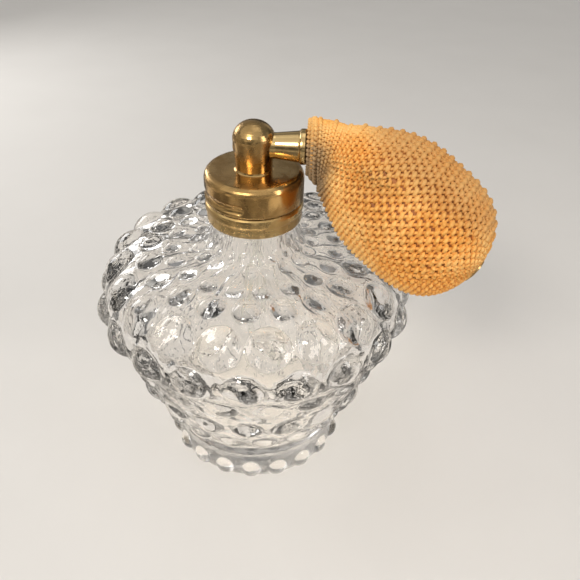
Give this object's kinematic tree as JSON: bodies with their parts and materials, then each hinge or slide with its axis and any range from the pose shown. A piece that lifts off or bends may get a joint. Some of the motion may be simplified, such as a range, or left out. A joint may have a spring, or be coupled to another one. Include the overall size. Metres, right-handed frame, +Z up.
{
  "type": "perfume atomiser",
  "caption": "Hobnail glass perfume bottle with a screw-on brass spray head and a net-covered rubber squeeze bulb.",
  "frame": {"origin": "centre of the bottle's flat base, on the surface it stands on", "axes": "+Z up along the bottle's axis; +X from the head along the side tube to the bulb, so the spray leaves along -X; +Y completes a right-handed frame"},
  "size_m": [0.0937, 0.0792, 0.0946],
  "materials": {
    "clear_glass": "clear pressed glass",
    "collar_brass": "polished, lightly tarnished",
    "cap_brass": "polished, lightly tarnished",
    "head_brass": "polished, lightly tarnished",
    "tip_brass": "polished",
    "valve_brass": "turned",
    "cement": "matt plaster",
    "gasket_rubber": "matt",
    "valve_rubber": "matt",
    "bulb_rubber": "matt",
    "siphon_plastic": "clear tube",
    "net_thread": "crocheted cotton",
    "tie_thread": "waxed thread"
  },
  "bodies": {
    "bottle": {"glass_bottle": "clear_glass", "glass_neck": "clear_glass", "neck_collar": "collar_brass", "collar_cement": "cement"},
    "gasket": {"cap_gasket": "gasket_rubber"},
    "head": {"screw_cap": "cap_brass", "head_post": "head_brass", "post_nut": "head_brass", "siphon_stem": "head_brass", "siphon_tube": "siphon_plastic", "air_tube": "head_brass", "bulb_ferrule": "head_brass", "nozzle_tip": "tip_brass", "air_jet": "tip_brass", "outlet_seat": "valve_brass", "outlet_stop": "valve_brass", "bulb_bladder": "bulb_rubber", "bulb_net": "net_thread", "net_tie": "tie_thread"},
    "outlet_valve": {"outlet_disc": "valve_rubber"},
    "inlet": {"inlet_body": "valve_brass", "inlet_stop": "valve_brass"},
    "inlet_valve": {"inlet_disc": "valve_rubber"}
  },
  "joints": [
    {"name": "cap_lift", "type": "slide", "parent": "bottle", "child": "gasket", "axis": [0, 0, 1], "range_m": [0, 0.003]},
    {"name": "cap_turn", "type": "hinge", "parent": "gasket", "child": "head", "pos_m": [0, 0, 0.0822], "axis": [0, 0, 1], "range_deg": [0, 720]},
    {"name": "bulb_squeeze", "type": "slide", "parent": "head", "child": "inlet", "axis": [-0.7784, 0.3796, 0.5], "range_m": [0, 0.012], "stiffness_N_per_m": 250, "deforming": ["bulb_bladder", "bulb_net"]},
    {"name": "outlet_open", "type": "slide", "parent": "head", "child": "outlet_valve", "axis": [-1, 0, 0], "range_m": [0, 0.001]},
    {"name": "inlet_open", "type": "slide", "parent": "inlet", "child": "inlet_valve", "axis": [-0.7784, 0.3796, 0.5], "range_m": [0, 0.0015]}
  ],
  "couplings": [
    {"joint": "cap_turn", "follows": "cap_lift", "rad_per_m": 4188.8}
  ]
}
